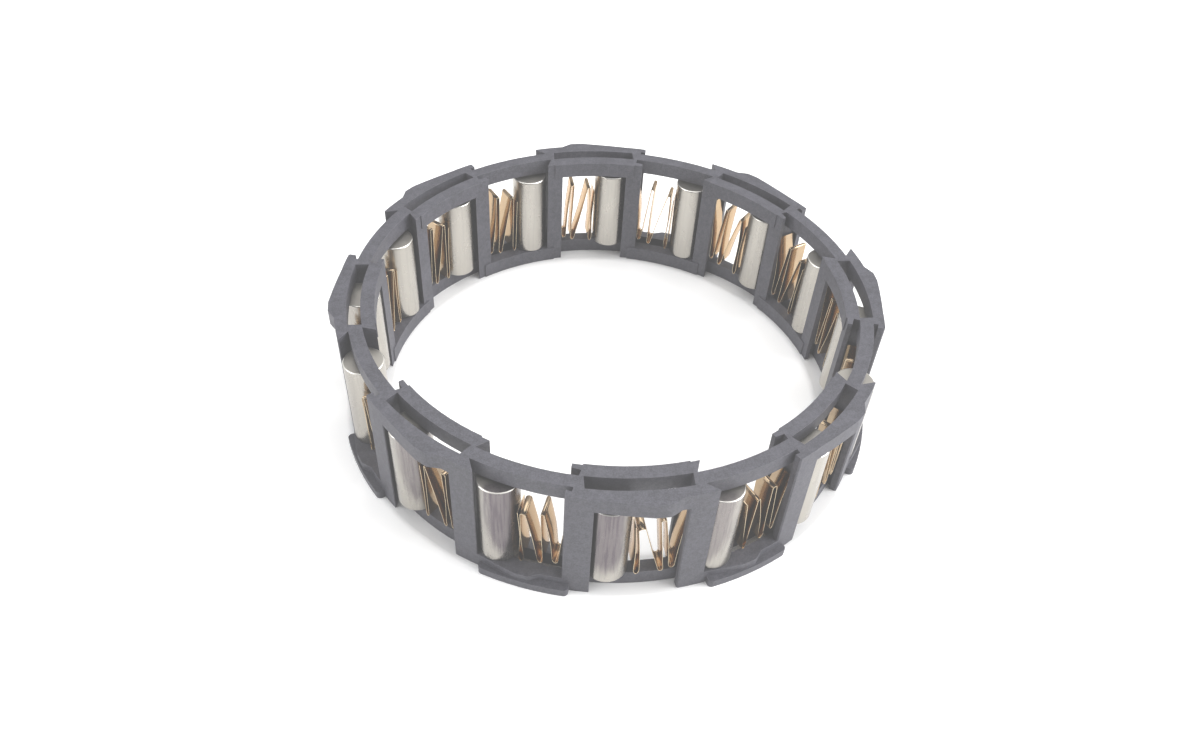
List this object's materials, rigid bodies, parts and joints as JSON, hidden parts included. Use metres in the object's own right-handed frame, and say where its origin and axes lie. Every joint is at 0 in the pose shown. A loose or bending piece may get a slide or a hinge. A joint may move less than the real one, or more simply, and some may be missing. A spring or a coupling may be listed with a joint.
{
  "type": "roller one-way clutch cage assembly",
  "caption": "Moulded cage ring of a one-way clutch with steel rollers and pleated strip springs in its pockets, to fit between a plain inner race and a cam outer race.",
  "frame": {"origin": "on the ring axis, in the plane of the cage's lower face", "axes": "+Z along the ring axis, from the face with the flanges to the face with the upper slotted rails; +X through the middle of the first pocket"},
  "size_m": [0.1276, 0.1276, 0.0304],
  "materials": {
    "cage_nylon": "matte",
    "roller_steel": "satin",
    "spring_strip": "satin"
  },
  "bodies": {
    "cage": {"cage": "cage_nylon"},
    "spring_end_01": {"spring_01": "spring_strip"},
    "roller_01": {"roller_01": "roller_steel"},
    "spring_end_02": {"spring_02": "spring_strip"},
    "roller_02": {"roller_02": "roller_steel"},
    "spring_end_03": {"spring_03": "spring_strip"},
    "roller_03": {"roller_03": "roller_steel"},
    "spring_end_04": {"spring_04": "spring_strip"},
    "roller_04": {"roller_04": "roller_steel"},
    "spring_end_05": {"spring_05": "spring_strip"},
    "roller_05": {"roller_05": "roller_steel"},
    "spring_end_06": {"spring_06": "spring_strip"},
    "roller_06": {"roller_06": "roller_steel"},
    "spring_end_07": {"spring_07": "spring_strip"},
    "roller_07": {"roller_07": "roller_steel"},
    "spring_end_08": {"spring_08": "spring_strip"},
    "roller_08": {"roller_08": "roller_steel"},
    "spring_end_09": {"spring_09": "spring_strip"},
    "roller_09": {"roller_09": "roller_steel"},
    "spring_end_10": {"spring_10": "spring_strip"},
    "roller_10": {"roller_10": "roller_steel"},
    "spring_end_11": {"spring_11": "spring_strip"},
    "roller_11": {"roller_11": "roller_steel"},
    "spring_end_12": {"spring_12": "spring_strip"},
    "roller_12": {"roller_12": "roller_steel"},
    "spring_end_13": {"spring_13": "spring_strip"},
    "roller_13": {"roller_13": "roller_steel"},
    "spring_end_14": {"spring_14": "spring_strip"},
    "roller_14": {"roller_14": "roller_steel"},
    "spring_end_15": {"spring_15": "spring_strip"},
    "roller_15": {"roller_15": "roller_steel"},
    "spring_end_16": {"spring_16": "spring_strip"},
    "roller_16": {"roller_16": "roller_steel"}
  },
  "joints": [
    {"name": "roller_travel_01", "type": "hinge", "parent": "cage", "child": "spring_end_01", "pos_m": [0, 0, 0.01495], "axis": [0, 0, 1], "range_deg": [-0.7, 5], "stiffness_Nm_per_rad": 1.35, "deforming": ["spring_01"]},
    {"name": "roller_travel_02", "type": "hinge", "parent": "cage", "child": "spring_end_02", "pos_m": [0, 0, 0.01495], "axis": [0, 0, 1], "range_deg": [-0.7, 5], "stiffness_Nm_per_rad": 1.35, "deforming": ["spring_02"]},
    {"name": "roller_travel_03", "type": "hinge", "parent": "cage", "child": "spring_end_03", "pos_m": [0, 0, 0.01495], "axis": [0, 0, 1], "range_deg": [-0.7, 5], "stiffness_Nm_per_rad": 1.35, "deforming": ["spring_03"]},
    {"name": "roller_travel_04", "type": "hinge", "parent": "cage", "child": "spring_end_04", "pos_m": [0, 0, 0.01495], "axis": [0, 0, 1], "range_deg": [-0.7, 5], "stiffness_Nm_per_rad": 1.35, "deforming": ["spring_04"]},
    {"name": "roller_travel_05", "type": "hinge", "parent": "cage", "child": "spring_end_05", "pos_m": [0, 0, 0.01495], "axis": [0, 0, 1], "range_deg": [-0.7, 5], "stiffness_Nm_per_rad": 1.35, "deforming": ["spring_05"]},
    {"name": "roller_travel_06", "type": "hinge", "parent": "cage", "child": "spring_end_06", "pos_m": [0, 0, 0.01495], "axis": [0, 0, 1], "range_deg": [-0.7, 5], "stiffness_Nm_per_rad": 1.35, "deforming": ["spring_06"]},
    {"name": "roller_travel_07", "type": "hinge", "parent": "cage", "child": "spring_end_07", "pos_m": [0, 0, 0.01495], "axis": [0, 0, 1], "range_deg": [-0.7, 5], "stiffness_Nm_per_rad": 1.35, "deforming": ["spring_07"]},
    {"name": "roller_travel_08", "type": "hinge", "parent": "cage", "child": "spring_end_08", "pos_m": [0, 0, 0.01495], "axis": [0, 0, 1], "range_deg": [-0.7, 5], "stiffness_Nm_per_rad": 1.35, "deforming": ["spring_08"]},
    {"name": "roller_travel_09", "type": "hinge", "parent": "cage", "child": "spring_end_09", "pos_m": [0, 0, 0.01495], "axis": [0, 0, 1], "range_deg": [-0.7, 5], "stiffness_Nm_per_rad": 1.35, "deforming": ["spring_09"]},
    {"name": "roller_travel_10", "type": "hinge", "parent": "cage", "child": "spring_end_10", "pos_m": [0, 0, 0.01495], "axis": [0, 0, 1], "range_deg": [-0.7, 5], "stiffness_Nm_per_rad": 1.35, "deforming": ["spring_10"]},
    {"name": "roller_travel_11", "type": "hinge", "parent": "cage", "child": "spring_end_11", "pos_m": [0, 0, 0.01495], "axis": [0, 0, 1], "range_deg": [-0.7, 5], "stiffness_Nm_per_rad": 1.35, "deforming": ["spring_11"]},
    {"name": "roller_travel_12", "type": "hinge", "parent": "cage", "child": "spring_end_12", "pos_m": [0, 0, 0.01495], "axis": [0, 0, 1], "range_deg": [-0.7, 5], "stiffness_Nm_per_rad": 1.35, "deforming": ["spring_12"]},
    {"name": "roller_travel_13", "type": "hinge", "parent": "cage", "child": "spring_end_13", "pos_m": [0, 0, 0.01495], "axis": [0, 0, 1], "range_deg": [-0.7, 5], "stiffness_Nm_per_rad": 1.35, "deforming": ["spring_13"]},
    {"name": "roller_travel_14", "type": "hinge", "parent": "cage", "child": "spring_end_14", "pos_m": [0, 0, 0.01495], "axis": [0, 0, 1], "range_deg": [-0.7, 5], "stiffness_Nm_per_rad": 1.35, "deforming": ["spring_14"]},
    {"name": "roller_travel_15", "type": "hinge", "parent": "cage", "child": "spring_end_15", "pos_m": [0, 0, 0.01495], "axis": [0, 0, 1], "range_deg": [-0.7, 5], "stiffness_Nm_per_rad": 1.35, "deforming": ["spring_15"]},
    {"name": "roller_travel_16", "type": "hinge", "parent": "cage", "child": "spring_end_16", "pos_m": [0, 0, 0.01495], "axis": [0, 0, 1], "range_deg": [-0.7, 5], "stiffness_Nm_per_rad": 1.35, "deforming": ["spring_16"]},
    {"name": "roller_spin_01", "type": "hinge", "parent": "spring_end_01", "child": "roller_01", "pos_m": [0.05792, -0.00521, 0.01495], "axis": [0, 0, 1], "continuous": true},
    {"name": "roller_spin_02", "type": "hinge", "parent": "spring_end_02", "child": "roller_02", "pos_m": [0.0555, 0.01735, 0.01495], "axis": [0, 0, 1], "continuous": true},
    {"name": "roller_spin_03", "type": "hinge", "parent": "spring_end_03", "child": "roller_03", "pos_m": [0.04464, 0.03727, 0.01495], "axis": [0, 0, 1], "continuous": true},
    {"name": "roller_spin_04", "type": "hinge", "parent": "spring_end_04", "child": "roller_04", "pos_m": [0.02698, 0.05151, 0.01495], "axis": [0, 0, 1], "continuous": true},
    {"name": "roller_spin_05", "type": "hinge", "parent": "spring_end_05", "child": "roller_05", "pos_m": [0.00521, 0.05792, 0.01495], "axis": [0, 0, 1], "continuous": true},
    {"name": "roller_spin_06", "type": "hinge", "parent": "spring_end_06", "child": "roller_06", "pos_m": [-0.01735, 0.0555, 0.01495], "axis": [0, 0, 1], "continuous": true},
    {"name": "roller_spin_07", "type": "hinge", "parent": "spring_end_07", "child": "roller_07", "pos_m": [-0.03727, 0.04464, 0.01495], "axis": [0, 0, 1], "continuous": true},
    {"name": "roller_spin_08", "type": "hinge", "parent": "spring_end_08", "child": "roller_08", "pos_m": [-0.05151, 0.02698, 0.01495], "axis": [0, 0, 1], "continuous": true},
    {"name": "roller_spin_09", "type": "hinge", "parent": "spring_end_09", "child": "roller_09", "pos_m": [-0.05792, 0.00521, 0.01495], "axis": [0, 0, 1], "continuous": true},
    {"name": "roller_spin_10", "type": "hinge", "parent": "spring_end_10", "child": "roller_10", "pos_m": [-0.0555, -0.01735, 0.01495], "axis": [0, 0, 1], "continuous": true},
    {"name": "roller_spin_11", "type": "hinge", "parent": "spring_end_11", "child": "roller_11", "pos_m": [-0.04464, -0.03727, 0.01495], "axis": [0, 0, 1], "continuous": true},
    {"name": "roller_spin_12", "type": "hinge", "parent": "spring_end_12", "child": "roller_12", "pos_m": [-0.02698, -0.05151, 0.01495], "axis": [0, 0, 1], "continuous": true},
    {"name": "roller_spin_13", "type": "hinge", "parent": "spring_end_13", "child": "roller_13", "pos_m": [-0.00521, -0.05792, 0.01495], "axis": [0, 0, 1], "continuous": true},
    {"name": "roller_spin_14", "type": "hinge", "parent": "spring_end_14", "child": "roller_14", "pos_m": [0.01735, -0.0555, 0.01495], "axis": [0, 0, 1], "continuous": true},
    {"name": "roller_spin_15", "type": "hinge", "parent": "spring_end_15", "child": "roller_15", "pos_m": [0.03727, -0.04464, 0.01495], "axis": [0, 0, 1], "continuous": true},
    {"name": "roller_spin_16", "type": "hinge", "parent": "spring_end_16", "child": "roller_16", "pos_m": [0.05151, -0.02698, 0.01495], "axis": [0, 0, 1], "continuous": true}
  ]
}
